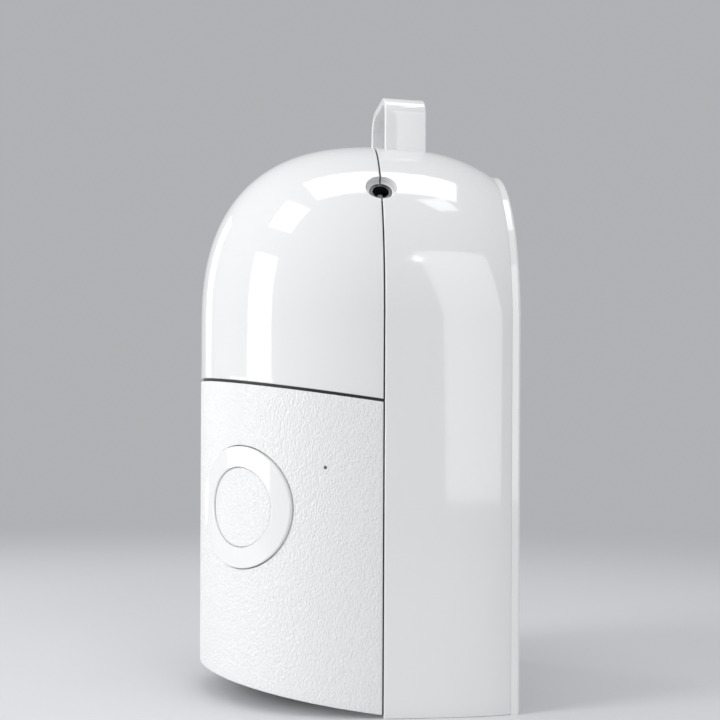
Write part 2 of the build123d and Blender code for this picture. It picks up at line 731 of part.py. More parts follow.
with BuildPart() as groove_seal:
    add(tunnel(seal_inset, 0, dome_start))
    add(tunnel(cover_wall, -rear_wall, dome_start + rear_wall), mode=Mode.SUBTRACT)
    split(bisect_by=groove_plane.offset(groove_gap / 2), keep=Keep.BOTTOM)
    split(bisect_by=groove_plane.offset(-groove_gap / 2), keep=Keep.TOP)
    split(bisect_by=front_edge, keep=Keep.BOTTOM)
groove_seal.part.label = "groove_seal"

PIECES = [
    front_dome_shell, front_panel, front_carrier, carry_loop, rear_shell, base_plate, base_magnets,
    keeper_discs, rest_pads, button_ring, button_cap, switch_plunger, switch_body, switch_board,
    status_lens, power_socket, socket_pin, reflector_liner, crown_light_board, left_light_board,
    right_light_board, light_beads, battery_cells, battery_tray, main_board, board_chips,
    board_screws, case_screws, sensor_window, hand_sensor, seam_seal, groove_seal,
]

os.makedirs("parts", exist_ok=True)
for piece in PIECES:
    export_step(piece.part, "parts/" + piece.part.label + ".step")
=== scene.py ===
"""Looks of a portable curing lamp: smooth outer surfaces, finishes, floor, lights and camera."""

import json
import math

import bmesh
import bpy
import numpy as np
from bpy.props import FloatProperty, FloatVectorProperty, PointerProperty
from mathutils import Matrix, Vector


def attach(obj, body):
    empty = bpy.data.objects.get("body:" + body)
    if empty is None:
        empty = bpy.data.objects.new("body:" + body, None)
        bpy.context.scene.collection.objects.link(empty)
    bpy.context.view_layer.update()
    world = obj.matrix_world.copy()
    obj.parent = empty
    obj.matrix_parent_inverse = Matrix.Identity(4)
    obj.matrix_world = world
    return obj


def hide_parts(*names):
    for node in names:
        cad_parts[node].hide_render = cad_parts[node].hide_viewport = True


bl_info = {
    "name": "Curing lamp looks",
    "version": (1, 0, 0),
    "blender": (4, 5, 0),
    "location": "View3D > Sidebar > Lamp",
    "description": "Builds the outer surfaces, finishes and studio of a portable curing lamp",
    "category": "Object",
}

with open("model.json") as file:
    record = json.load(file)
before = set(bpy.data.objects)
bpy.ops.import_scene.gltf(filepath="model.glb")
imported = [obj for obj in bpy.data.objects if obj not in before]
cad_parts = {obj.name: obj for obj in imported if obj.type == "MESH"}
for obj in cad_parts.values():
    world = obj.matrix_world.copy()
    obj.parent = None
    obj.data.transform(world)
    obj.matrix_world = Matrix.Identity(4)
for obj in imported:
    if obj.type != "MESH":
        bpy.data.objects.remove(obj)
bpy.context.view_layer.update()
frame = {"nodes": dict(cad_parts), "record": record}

# Directions of the frame: towards the socket's side, towards the base plate, and up
ACROSS = np.array((1.0, 0.0, 0.0))
BACK = np.array((0.0, 1.0, 0.0))
UP = np.array((0.0, 0.0, 1.0))

# Tolerances, in metres
WELD = 2e-6  # points of a piece that are nearer become one
SHORTEST_EDGE = 1e-6  # shorter edges of a piece are dissolved
CUTTER_WELD = 1e-7
AXIS_RADIUS = 1e-6  # stands for no radius on a cutter's axis
CENTRE_RADIUS = 1e-7  # the same at the cap's centre
LEAST_SIZE = 1e-9  # keeps the section's half axes above zero at the apex

SHARP_ANGLE = math.radians(30)
LOOP_SHARP_ANGLE = math.radians(50)
LEAST_KEPT = 0.3  # share of a piece's faces that must outlast each opening


# Settings

def metres(name, description, default):
    """A length."""
    return FloatProperty(name=name, description=description, default=default, unit="LENGTH", precision=5)


def metre_pair(name, description, default):
    """Two lengths."""
    return FloatVectorProperty(
        name=name, description=description, default=default, size=2, unit="LENGTH", precision=5,
    )


def degrees(name, description, default):
    """An angle whose default is given in degrees."""
    return FloatProperty(
        name=name, description=description, default=math.radians(default), subtype="ANGLE",
    )


def plain(name, description, default):
    """A number without a unit."""
    return FloatProperty(name=name, description=description, default=default)


def tint(name, description, default):
    """A linear colour."""
    return FloatVectorProperty(name=name, description=description, default=default, size=3, subtype="COLOR")


class LampForm(bpy.types.PropertyGroup):
    """Sizes of the body's outer form"""

    crown_depth: metres("Crown depth", "From the body's axis to the crown", 0.0645)
    half_width: metres("Half width", "From the axis to each side", 0.052)
    base_depth: metres("Base depth", "From the axis to the base plate", 0.0421)
    seam_shift: metres("Seam shift", "From the axis to the seam", -0.0011)
    axis_offset: metres("Axis offset", "How far the axis stands behind the origin", 0.0094)
    dome_start: metres("Dome start", "Height at which the dome begins", 0.1328)
    dome_height: metres("Dome height", "Height of the dome alone", 0.0684)
    dome_power_depth: plain("Side roundness", "Power of the dome's curve seen from the side", 2.5)
    dome_power_width: plain("Front roundness", "Power of the dome's curve seen from the front", 2.0)
    rear_power_low: plain("Rear squareness", "Power of the rear half's section below the dome", 4.0)
    rear_power_top: plain("Top squareness", "Power of the rear half's section at the top", 2.4)
    rake: degrees("Rake", "Slant of the mouth's front rim and of the groove", 8)
    rim_height: metres("Rim height", "Height of the front rim at the axis", 0.0011)
    groove_height: metres("Groove height", "Height of the groove at the axis", 0.1045)
    seam_gap: metres("Seam gap", "Width of the seam between front and rear", 0.0005)
    groove_gap: metres("Groove gap", "Width of the groove under the dome", 0.001)
    cover_wall: metres("Cover wall", "Wall of the front covers", 0.002)
    rear_wall: metres("Rear wall", "Wall of the rear shell", 0.0036)
    edge_round: metres("Edge rounding", "Radius on the edges of the shells", 0.0004)


class LampDetails(bpy.types.PropertyGroup):
    """Sizes of the button, the openings and the loop"""

    button_angle: degrees("Button angle", "Round the front half, from the side", 49.1)
    button_height: metres("Button height", "Height of the button's middle", 0.0685)
    ring_radius: metres("Ring radius", "Outer radius of the button's ring", 0.0209)
    ring_gap: metres("Ring gap", "Gap between the ring and the panel", 0.0004)
    ring_proud: metres("Ring height", "How far the ring stands proud", 0.0009)
    cap_radius: metres("Cap radius", "Radius of the push button", 0.0136)
    cap_proud: metres("Cap height", "How far the cap stands proud", 0.0003)
    cap_gap: metres("Cap gap", "Gap between the cap and its ring", 0.00014)
    status_angle: degrees("Status angle", "Round the front half, from the side", 18.3)
    status_height: metres("Status height", "Height of the status light", 0.0825)
    status_radius: metres("Status radius", "Radius of the pinhole", 0.0006)
    socket_height: metres("Socket height", "Height of the power socket", 0.178)
    socket_tilt: degrees("Socket tilt", "Of its axis above the horizontal", 34)
    recess_radius: metres("Recess radius", "Radius of the socket's recess", 0.0054)
    recess_depth: metres("Recess depth", "Depth of the socket's recess", 0.0023)
    nose_radius: metres("Nose radius", "Radius of the hole for the socket's nose", 0.004)
    cut_reach: metres("Socket cut", "How far that hole is cut in and out of the surface", 0.012)
    seat_thickness: metres("Seat thickness", "Wall that the base plate sits on", 0.003)
    seat_sink: metres("Seat sink", "How far that wall lies below the plate", 0.00012)
    opening_inset: metres("Opening inset", "From the outer form to the opening in the seat", 0.0105)
    opening_height: metres("Opening height", "Height of the opening in the seat", 0.1395)
    boss_x: metres("Boss distance", "From the middle to the screws", 0.0455)
    boss_heights: metre_pair("Boss heights", "Heights of the screws", (0.012, 0.129))
    well_radius: metres("Well radius", "Radius of the screw wells", 0.0022)
    loop_half_span: metres("Loop half span", "Half the loop's outer width", 0.0145)
    loop_width: metres("Loop depth", "Width of the loop's strip", 0.0152)
    loop_thickness: metres("Loop thickness", "Thickness of the strip", 0.0026)
    loop_bend: metres("Loop bend", "Outer radius of its corners", 0.0078)
    loop_top: metres("Loop top", "Height of the loop's top", 0.2175)
    loop_spot: metre_pair("Loop spot", "From the axis to the loop's middle", (0.0035, 0.0087))
    loop_turn: degrees("Loop turn", "Turn about the upright", 5)
    loop_sink: metres("Loop sink", "From the dome's top down to the ends of its legs", 0.012)
    loop_round: metres("Loop rounding", "Radius on the strip's long edges", 0.0005)


class LampColours(bpy.types.PropertyGroup):
    """Colours of the pale plastics and of the paper"""

    gloss: tint("Gloss", "Dome, rear shell, loop and base plate", (0.80, 0.80, 0.80))
    ring: tint("Ring", "Ring round the button", (0.83, 0.83, 0.83))
    grain: tint("Grain", "Grained panel and button", (0.80, 0.80, 0.80))
    inner: tint("Inside", "Carrier and battery tray", (0.72, 0.72, 0.72))
    reflector: tint("Reflector", "Lining of the hand space", (0.84, 0.85, 0.87))
    paper: tint("Paper", "Floor under the lamp", (0.72, 0.72, 0.73))
    paper_fleck: tint("Paper fleck", "Faint speckle in the floor", (0.73, 0.73, 0.74))


class LampStage(bpy.types.PropertyGroup):
    """Camera and surround"""

    camera_x: metres("Camera X", "Distance from the body's axis to the side", 0.3783)
    camera_y: metres("Camera Y", "Distance from the body's axis along Y", -0.0359)
    camera_height: metres("Camera height", "Height of the level camera", 0.0914)
    camera_turn: degrees("Camera turn", "Turn of the view away from -X", -4.7)
    camera_roll: degrees("Camera roll", "Small roll of the picture", 0.25)
    lens: plain("Lens", "Focal length for a 36 mm sensor, in millimetres", 50.0)
    shift: plain("Shift", "Vertical shift of the picture", 0.112)
    surround_colour: tint("Surround", "Colour of the surround", (0.9, 0.92, 0.95))
    surround_light: plain("Surround light", "Strength of the surround", 0.48)
    fade_start: metres("Fade start", "Distance at which the floor begins to fade", 0.25)
    fade_end: metres("Fade end", "Distance from which only the surround shows", 0.8)


# Shapes

def superellipse(share, power):
    """The share of one half axis that belongs to a share of the other: (1 - share^power)^(1/power)."""
    return (1 - share**power) ** (1 / power)


def form_sizes(form, height, inset):
    """Half depth, half width and rear squareness of the section at a height, drawn in by an inset. In the dome
    each half axis is its full size times the superellipse of the height's share of the dome."""
    rise = np.clip((height - form.dome_start) / (form.dome_height - inset), 0, 1)
    depth = (form.crown_depth - inset) * superellipse(rise, form.dome_power_depth)
    width = (form.half_width - inset) * superellipse(rise, form.dome_power_width)
    power = form.rear_power_low + (form.rear_power_top - form.rear_power_low) * rise
    return np.maximum(depth, LEAST_SIZE), np.maximum(width, LEAST_SIZE), power


def section_point(form, turn, height, inset):
    """Points at a polar angle of the section, which is a superellipse with power 2 in front:
    reach = (|cos/width|^power + |sin/depth|^power)^(-1/power)."""
    depth, width, rear = form_sizes(form, height, inset)
    power = np.where(np.sin(turn) > 0, rear, 2.0)
    reach = (np.abs(np.cos(turn) / width) ** power + np.abs(np.sin(turn) / depth) ** power) ** (-1 / power)
    return np.stack((reach * np.cos(turn), reach * np.sin(turn) + form.axis_offset, height + 0 * reach), -1)


def turn_at(form, along, height, inset):
    """Polar angle, on the +X side, at which the section reaches a distance along Y from the axis."""
    depth, width, rear = form_sizes(form, height, inset)
    power = np.where(along > 0, rear, 2.0)
    share = np.clip(np.abs(along) / depth, 0, 1)
    across = width * superellipse(share, power)
    return np.where(share >= 1, np.sign(along) * math.pi / 2, np.arctan2(along, across))


def edge_profile(radius, wall, steps=4):
    """An edge as (distance from the edge, inset) pairs, from the wall's inside out to the end of the rounding:
    radius * (1 - cos) and radius * (1 - sin) of a quarter turn."""
    pairs = [(0.0, wall), (0.0, radius)]
    for step in range(1, steps + 1):
        turn = math.pi / 2 * step / steps
        pairs.append((radius * (1 - math.cos(turn)), radius * (1 - math.sin(turn))))
    return pairs


def front_sheet(form, bottom, top, rows, flat_inset=None, columns=150):
    """The front half between two slanted heights, polar angle across and height up. The edge rows follow the slant
    (height - tan of the rake * distance along Y), the rows between them mix both ends, and the rows and columns at
    the edges are drawn in along the edge's profile. A top of None carries the sheet on over the dome to its apex,
    by the sine of the height. A flat inset draws the whole sheet in alike, as the wall's inside."""
    profile = edge_profile(form.edge_round, form.cover_wall)
    count = len(profile)
    seam_y = np.array([form.seam_shift - form.seam_gap / 2 - gap for gap, _ in profile])
    seam_inset = [inset for _, inset in profile]
    column_inset = np.array(seam_inset + [0.0] * columns + seam_inset[::-1])
    slope = math.tan(form.rake)
    round_end = profile[-1][0]
    row_list = [("slant", bottom + gap, inset) for gap, inset in profile]
    row_list += [("mix", share, 0.0) for share in np.linspace(0, 1, rows)[1:-1]]
    if top is None:
        row_list += [("dome", math.sin(angle), 0.0) for angle in np.radians(np.linspace(0, 90, 90))]
    else:
        row_list += [("slant", top - gap, inset) for gap, inset in profile[::-1]]
    sheet = []
    for kind, value, row_inset in row_list:
        inset = np.maximum(column_inset, row_inset)
        if flat_inset is not None:
            inset = np.full_like(inset, flat_inset)
        height = np.zeros_like(inset)
        if kind == "dome":
            height = form.dome_start + (form.dome_height - inset) * value
        right = turn_at(form, seam_y, height[:count], inset[:count])
        last = turn_at(form, seam_y[-1:], height[count:count + 1], inset[count:count + 1])[0]
        middle = np.linspace(last, -math.pi - last, columns + 2)[1:-1]
        turn = np.concatenate((right, middle, -math.pi - right[::-1]))
        points = section_point(form, turn, height, inset)
        drop = slope * (points[:, 1] - form.axis_offset)
        if kind == "slant":
            points[:, 2] = value - drop
        elif kind == "mix" and top is None:
            points[:, 2] = (bottom + round_end - drop) * (1 - value) + form.dome_start * value
        elif kind == "mix":
            points[:, 2] = (bottom + round_end) * (1 - value) + (top - round_end) * value - drop
        sheet.append(points)
    return np.array(sheet)


def rear_sheet(form, flat_inset=None, columns=110, rows=30):
    """The right rear quarter from the floor to the apex: polar angle from the seam round to the base plate, height
    up, by the sine of the height in the dome, with its edges drawn in as those of the front sheet are."""
    profile = edge_profile(form.edge_round, form.rear_wall)
    plate_profile = edge_profile(form.edge_round / 3, form.rear_wall)[::-1]
    seam_y = np.array([form.seam_shift + form.seam_gap / 2 + gap for gap, _ in profile])
    plate_y = np.array([form.base_depth - gap for gap, _ in plate_profile])
    column_inset = np.array(
        [inset for _, inset in profile] + [0.0] * columns + [inset for _, inset in plate_profile]
    )
    row_list = [("low", gap, inset) for gap, inset in profile]
    row_list += [("low", form.dome_start * share, 0.0) for share in np.linspace(0, 1, rows)[1:-1]]
    row_list += [("dome", math.sin(angle), 0.0) for angle in np.radians(np.linspace(0, 90, 140))]
    start, end = len(seam_y), -len(plate_y)
    sheet = []
    for kind, value, row_inset in row_list:
        inset = np.maximum(column_inset, row_inset)
        if flat_inset is not None:
            inset = np.full_like(inset, flat_inset)
        height = np.full_like(inset, value)
        if kind == "dome":
            height = form.dome_start + (form.dome_height - inset) * value
        first = turn_at(form, seam_y, height[:start], inset[:start])
        final = turn_at(form, plate_y, height[end:], inset[end:])
        middle = np.linspace(first[-1], final[0], columns + 2)[1:-1]
        sheet.append(section_point(form, np.concatenate((first, middle, final)), height, inset))
    return np.array(sheet)


def outline_width(form, height, inset):
    """Half the width of the section at a height, where it meets the plane of the base plate."""
    depth, width, power = form_sizes(form, np.array([height]), inset)
    share = min(form.base_depth / depth[0], 1.0)
    return float(width[0] * superellipse(share, power[0]))


def base_outline(form, inset):
    """Border, in X and Z, of the body where it meets the plane of the base plate, drawn in by an inset. Its top is
    where the dome's depth has shrunk to the plate's distance."""
    limit = superellipse(form.base_depth / (form.crown_depth - inset), form.dome_power_depth)
    rise = np.sin(np.radians(np.linspace(0, 90, 60)[1:]))
    low = np.linspace(0, form.dome_start, 8)
    heights = np.concatenate((low, form.dome_start + (form.dome_height - inset) * limit * rise))
    right = [(outline_width(form, height, inset), height) for height in heights]
    left = [(-x, z) for x, z in right[::-1] if x > SHORTEST_EDGE]
    return np.array(right + left)


def grid_faces(rows, columns, start=0, flipped=False):
    """Quads of a grid of points, row by row."""
    index = start + np.arange(rows * columns).reshape(rows, columns)
    quads = np.stack((index[:-1, :-1], index[:-1, 1:], index[1:, 1:], index[1:, :-1]), -1).reshape(-1, 4)
    return quads[:, ::-1] if flipped else quads


def closed_shell(outer, inner):
    """An outer and an inner sheet of points with one border, as one closed set of faces."""
    rows, columns = outer.shape[:2]
    points = np.concatenate((outer.reshape(-1, 3), inner.reshape(-1, 3)))
    inside = grid_faces(rows, columns, rows * columns, flipped=True)
    return points, np.concatenate((grid_faces(rows, columns), inside))


def slab(outline, levels):
    """An outline in X and Z, drawn from one level of Y to another and closed by its two ends."""
    count = len(outline)
    points = np.concatenate([
        np.column_stack((outline[:, 0], np.full(count, level), outline[:, 1])) for level in levels
    ])
    faces = [tuple(range(count)), tuple(range(2 * count - 1, count - 1, -1))]
    faces += [(i, (i + 1) % count, count + (i + 1) % count, count + i) for i in range(count)]
    return points, faces


def turned(place, profile, steps=96):
    """A profile of (radius, distance) pairs from axis to axis, turned round a placed axis:
    origin + radius * (cos of the turn * across + sin of the turn * up) + distance * axis."""
    origin, across, up, axis = place
    radius, distance = np.array(profile).T[:, :, None, None]
    turns = 2 * math.pi * np.arange(steps) / steps
    circle = np.cos(turns)[:, None] * across + np.sin(turns)[:, None] * up
    points = origin + radius * circle + distance * axis
    index = np.arange(len(profile) * steps).reshape(-1, steps)
    after = np.roll(index, -1, axis=1)
    return points, np.stack((index[:-1], after[:-1], after[1:], index[1:]), -1).reshape(-1, 4)


def cylinder(place, radius, low, high):
    """A closed round bar on a placed axis."""
    return turned(place, [(AXIS_RADIUS, low), (radius, low), (radius, high), (AXIS_RADIUS, high)])


def front_place(form, angle, height):
    """Origin, two directions in the surface and the outward normal of a point on the front half's ellipse:
    (width * cos, -depth * sin), whose normal is (cos / width, -sin / depth)."""
    x = form.half_width * math.cos(angle)
    y = -form.crown_depth * math.sin(angle)
    normal = np.array((math.cos(angle) / form.half_width, -math.sin(angle) / form.crown_depth, 0.0))
    normal /= np.linalg.norm(normal)
    across = np.array((normal[1], -normal[0], 0.0))
    return np.array((x, y + form.axis_offset, height)), across, -UP, normal


def on_form(form, place, across, down, inset):
    """Points over a place, carried along its normal to the front half drawn in by an inset: the distance is the
    larger root of the quadratic that the ellipse's equation gives for it."""
    origin, side, _, normal = place
    wide = form.half_width - inset
    deep = form.crown_depth - inset
    x = origin[0] + across * side[0]
    y = origin[1] - form.axis_offset + across * side[1]
    a = (normal[0] / wide) ** 2 + (normal[1] / deep) ** 2
    b = 2 * (x * normal[0] / wide**2 + y * normal[1] / deep**2)
    c = (x / wide) ** 2 + (y / deep) ** 2 - 1
    reach = (-b + np.sqrt(np.maximum(b * b - 4 * a * c, 0))) / (2 * a)
    return np.stack((x + reach * normal[0], y + reach * normal[1] + form.axis_offset, origin[2] - down), -1)


def socket_cutter(form, details):
    """The socket's round recess and the hole for its nose, turned round the socket's slanted axis."""
    rise = (details.socket_height - form.dome_start) / form.dome_height
    x = form.half_width * superellipse(rise, form.dome_power_width)
    axis = np.array((math.cos(details.socket_tilt), 0.0, math.sin(details.socket_tilt)))
    middle = np.array((x, form.seam_shift + form.axis_offset, details.socket_height))
    place = (middle, BACK, np.cross(axis, BACK), axis)
    nose, recess = details.nose_radius, details.recess_radius
    reach, step = details.cut_reach, -details.recess_depth
    return turned(place, [
        (AXIS_RADIUS, -reach), (nose, -reach), (nose, step), (recess, step), (recess, reach), (AXIS_RADIUS, reach),
    ])


# Pieces

def new_object(name, points, faces):
    """A mesh object of the scene."""
    mesh = bpy.data.meshes.new(name)
    rows = [list(map(int, face)) for face in faces]
    mesh.from_pydata(np.asarray(points).reshape(-1, 3).tolist(), [], rows)
    item = bpy.data.objects.new(name, mesh)
    bpy.context.scene.collection.objects.link(item)
    return item


def weld(mesh, distance, shortest=0.0):
    """Merges near points, dissolves edges shorter than the shortest, and turns the faces outwards."""
    work = bmesh.new()
    work.from_mesh(mesh)
    bmesh.ops.remove_doubles(work, verts=work.verts, dist=distance)
    if shortest:
        bmesh.ops.dissolve_degenerate(work, edges=work.edges, dist=shortest)
    bmesh.ops.recalc_face_normals(work, faces=work.faces)
    work.to_mesh(mesh)
    work.free()
    mesh.update()


def shade(piece, sharp):
    """Smooth shading with true edges kept sharp."""
    piece.data.shade_smooth()
    piece.data.set_sharp_from_angle(angle=sharp)


def cut(piece, cutters):
    """Takes closed cutters out of a closed piece for good."""
    for number, (points, faces) in enumerate(cutters):
        tool = new_object(f"{piece.name}_cutter_{number}", points, faces)
        mesh = tool.data
        weld(mesh, CUTTER_WELD)
        step = piece.modifiers.new("opening", "BOOLEAN")
        step.operation = "DIFFERENCE"
        step.solver = "EXACT"
        step.object = tool
        bpy.context.view_layer.update()
        graph = bpy.context.evaluated_depsgraph_get()
        result = bpy.data.meshes.new_from_object(piece.evaluated_get(graph))
        if len(result.polygons) < len(piece.data.polygons) * LEAST_KEPT:
            raise RuntimeError(f"{piece.name}: the opening {number} took too much away")
        old = piece.data
        piece.modifiers.clear()
        piece.data = result
        result.name = piece.name
        bpy.data.meshes.remove(old)
        bpy.data.objects.remove(tool)
        bpy.data.meshes.remove(mesh)


def make_piece(name, shape, body, node, slot_name, cutters=(), sharp=SHARP_ANGLE):
    """A welded, smooth piece with its openings and finish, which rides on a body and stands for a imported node."""
    piece = new_object(name, *shape)
    weld(piece.data, WELD, SHORTEST_EDGE)
    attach(piece, body)
    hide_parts(node)
    cut(piece, cutters)
    shade(piece, sharp)
    dress(piece, slot_name)


# Finishes

# Colour, fleck colour, noise scale, roughness, metallic and coat of the speckled finishes
SPECKLED = {
    "pin_metal": ((0.10, 0.10, 0.10), (0.14, 0.14, 0.14), 700.0, 0.4, 1.0, 0.0),
    "bead_clear": ((0.9, 0.85, 0.45), (0.95, 0.92, 0.7), 900.0, 0.1, 0.0, 0.6),
    "dark_rubber": ((0.012, 0.012, 0.012), (0.02, 0.02, 0.02), 1500.0, 0.6, 0.0, 0.0),
    "pad_rubber": ((0.5, 0.5, 0.5), (0.56, 0.56, 0.56), 1500.0, 0.65, 0.0, 0.0),
    "black_plastic": ((0.012, 0.012, 0.013), (0.02, 0.02, 0.02), 900.0, 0.25, 0.0, 0.0),
    "plated_steel": ((0.7, 0.7, 0.7), (0.78, 0.78, 0.78), 700.0, 0.18, 1.0, 0.0),
    "plain_steel": ((0.5, 0.5, 0.52), (0.6, 0.6, 0.62), 1200.0, 0.35, 1.0, 0.0),
    "board_green": ((0.015, 0.12, 0.04), (0.02, 0.16, 0.05), 600.0, 0.35, 0.0, 0.0),
    "board_white": ((0.78, 0.78, 0.75), (0.82, 0.82, 0.8), 600.0, 0.4, 0.0, 0.0),
    "smoke_clear": ((0.12, 0.12, 0.12), (0.16, 0.16, 0.16), 800.0, 0.08, 0.0, 0.0),
    "cell_wrap": ((0.03, 0.12, 0.32), (0.04, 0.14, 0.36), 500.0, 0.2, 0.0, 0.0),
}
COAT_ROUGHNESS = 0.03


def feed(tree, node, inputs):
    """Gives each input of a node its value, or links it to the socket that feeds it."""
    for key, value in inputs.items():
        if isinstance(value, bpy.types.NodeSocket):
            tree.links.new(value, node.inputs[key])
        else:
            node.inputs[key].default_value = value


def new_node(tree, kind, inputs, operation=None):
    """A shader node with its inputs."""
    node = tree.nodes.new(kind)
    if operation:
        node.operation = operation
    feed(tree, node, inputs)
    return node


def object_place(tree):
    """The socket that gives a point's place on its piece."""
    return new_node(tree, "ShaderNodeTexCoord", {}).outputs["Object"]


def new_group(name, inputs, outputs):
    """An empty shader group whose inputs are numbers, with its input and output nodes."""
    group = bpy.data.node_groups.new(name, "ShaderNodeTree")
    for label, value in inputs:
        socket = group.interface.new_socket(name=label, in_out="INPUT", socket_type="NodeSocketFloat")
        socket.default_value = value
    for label, kind in outputs:
        group.interface.new_socket(name=label, in_out="OUTPUT", socket_type=kind)
    return group, group.nodes.new("NodeGroupInput"), group.nodes.new("NodeGroupOutput")


def leather_group():
    """Leather grain as a normal: rounded cells with bent borders, and fine and broad noise over them. The cells are
    turned away from the axes and a little taller than wide."""
    group, source, sink = new_group(
        "leather_grain", [("Cell size", 0.00068), ("Depth", 0.00022)], [("Normal", "NodeSocketVector")],
    )
    tilt, bend = math.radians(25), 0.0004
    fine_share, broad_share = 0.35, 0.6
    place = object_place(group)
    mapped = new_node(group, "ShaderNodeMapping", {
        "Vector": place, "Rotation": (tilt, tilt, 0.0), "Scale": (1.0, 1.0, 0.7),
    }).outputs["Vector"]
    scale = new_node(group, "ShaderNodeMath", {0: 1.0, 1: source.outputs["Cell size"]}, "DIVIDE")
    waves = new_node(group, "ShaderNodeTexNoise", {"Vector": mapped, "Scale": 700.0, "Detail": 2.0})
    bent = new_node(group, "ShaderNodeVectorMath", {
        0: waves.outputs["Color"], 1: (bend, bend, bend), 2: mapped,
    }, "MULTIPLY_ADD")
    cells = group.nodes.new("ShaderNodeTexVoronoi")
    cells.feature = "SMOOTH_F1"
    feed(group, cells, {"Vector": bent.outputs[0], "Scale": scale.outputs[0], "Smoothness": 0.35})
    fine = new_node(group, "ShaderNodeTexNoise", {"Vector": place, "Scale": 2400.0, "Detail": 3.0})
    broad = new_node(group, "ShaderNodeTexNoise", {"Vector": place, "Scale": 260.0, "Detail": 2.0})
    height = new_node(group, "ShaderNodeMath", {0: 1.0, 1: cells.outputs["Distance"]}, "SUBTRACT")
    for noise, share in ((fine, fine_share), (broad, broad_share)):
        height = new_node(group, "ShaderNodeMath", {
            0: noise.outputs["Fac"], 1: share, 2: height.outputs[0],
        }, "MULTIPLY_ADD")
    bump = new_node(group, "ShaderNodeBump", {
        "Strength": 1.0, "Distance": source.outputs["Depth"], "Height": height.outputs[0],
    })
    feed(group, sink, {"Normal": bump.outputs["Normal"]})
    return group


def ripple_group():
    """Moulded gloss: very shallow, wide ripples and a little uneven roughness."""
    group, source, sink = new_group(
        "moulded_gloss",
        [("Scale", 45.0), ("Depth", 0.00003), ("Roughness", 0.06)],
        [("Normal", "NodeSocketVector"), ("Roughness", "NodeSocketFloat")],
    )
    smear_share = 0.04
    place = object_place(group)
    wave = new_node(group, "ShaderNodeTexNoise", {
        "Vector": place, "Scale": source.outputs["Scale"], "Detail": 1.0,
    })
    bump = new_node(group, "ShaderNodeBump", {
        "Distance": source.outputs["Depth"], "Height": wave.outputs["Fac"],
    })
    smear = new_node(group, "ShaderNodeTexNoise", {"Vector": place, "Scale": 90.0, "Detail": 4.0})
    spread = new_node(group, "ShaderNodeMath", {
        0: smear.outputs["Fac"], 1: smear_share, 2: source.outputs["Roughness"],
    }, "MULTIPLY_ADD")
    feed(group, sink, {"Normal": bump.outputs["Normal"], "Roughness": spread.outputs[0]})
    return group


def plain_material(name, colour, roughness, metallic=0.0, coat=0.0, group=None, values=None):
    """A material with a Principled shader, fed by a shared group if there is one."""
    material = bpy.data.materials.new(name)
    material.use_nodes = True
    tree = material.node_tree
    shader = tree.nodes["Principled BSDF"]
    feed(tree, shader, {
        "Base Color": (*colour, 1.0), "Roughness": roughness, "Metallic": metallic,
        "Coat Weight": coat, "Coat Roughness": COAT_ROUGHNESS,
    })
    if group is not None:
        effect = tree.nodes.new("ShaderNodeGroup")
        effect.node_tree = group
        feed(tree, effect, values or {})
        feed(tree, shader, {output.name: output for output in effect.outputs})
    return material


def speckled_material(name, colour, fleck, scale, roughness, metallic=0.0, coat=0.0):
    """A material whose colour varies a little with a fine noise."""
    material = plain_material(name, colour, roughness, metallic, coat)
    tree = material.node_tree
    noise = new_node(tree, "ShaderNodeTexNoise", {"Vector": object_place(tree), "Scale": scale, "Detail": 4.0})
    mix = tree.nodes.new("ShaderNodeMix")
    mix.data_type = "RGBA"
    feed(tree, mix, {"A": (*colour, 1.0), "B": (*fleck, 1.0), "Factor": noise.outputs["Fac"]})
    feed(tree, tree.nodes["Principled BSDF"], {"Base Color": mix.outputs["Result"]})
    return material


def material_for(name):
    """The finish of a material slot, made when it is first asked for."""
    full = "lamp_" + name
    known = bpy.data.materials.get(full)
    if known:
        return known
    if name in SPECKLED:
        return speckled_material(full, *SPECKLED[name])
    colours = bpy.context.scene.lamp_colours
    gloss = bpy.data.node_groups.get("moulded_gloss") or ripple_group()
    if name == "gloss_white":
        return plain_material(full, colours.gloss, 0.06, coat=0.35, group=gloss)
    if name == "ring_white":
        return plain_material(full, colours.ring, 0.08, coat=0.3, group=gloss)
    if name == "inner_white":
        return plain_material(full, colours.inner, 0.5, group=gloss, values={"Roughness": 0.45})
    if name == "reflector":
        return plain_material(full, colours.reflector, 0.18, group=gloss, values={"Roughness": 0.16})
    if name == "grain_white":
        return plain_material(full, colours.grain, 0.36, group=leather_group())
    raise KeyError(f"no finish for the slot {name}")


def dress(piece, name):
    """Gives a piece the finish of a material slot."""
    piece.data.materials.clear()
    piece.data.materials.append(material_for(name))


# Operators

class LAMP_OT_front_dome(bpy.types.Operator):
    """Front dome cover: a half superellipse that shrinks to the apex, with rounded edges at the groove and the seam"""

    bl_idname = "lamp.front_dome"
    bl_label = "Build the front dome"

    def execute(self, context):
        form = context.scene.lamp_form
        low = form.groove_height + form.groove_gap / 2 / math.cos(form.rake)
        outer = front_sheet(form, low, None, rows=16)
        inner = front_sheet(form, low, None, rows=16, flat_inset=form.cover_wall)
        socket = socket_cutter(form, context.scene.lamp_details)
        shape = closed_shell(outer, inner)
        make_piece("front_dome_skin", shape, "case", "front_dome_shell", "gloss_white", [socket])
        return {"FINISHED"}


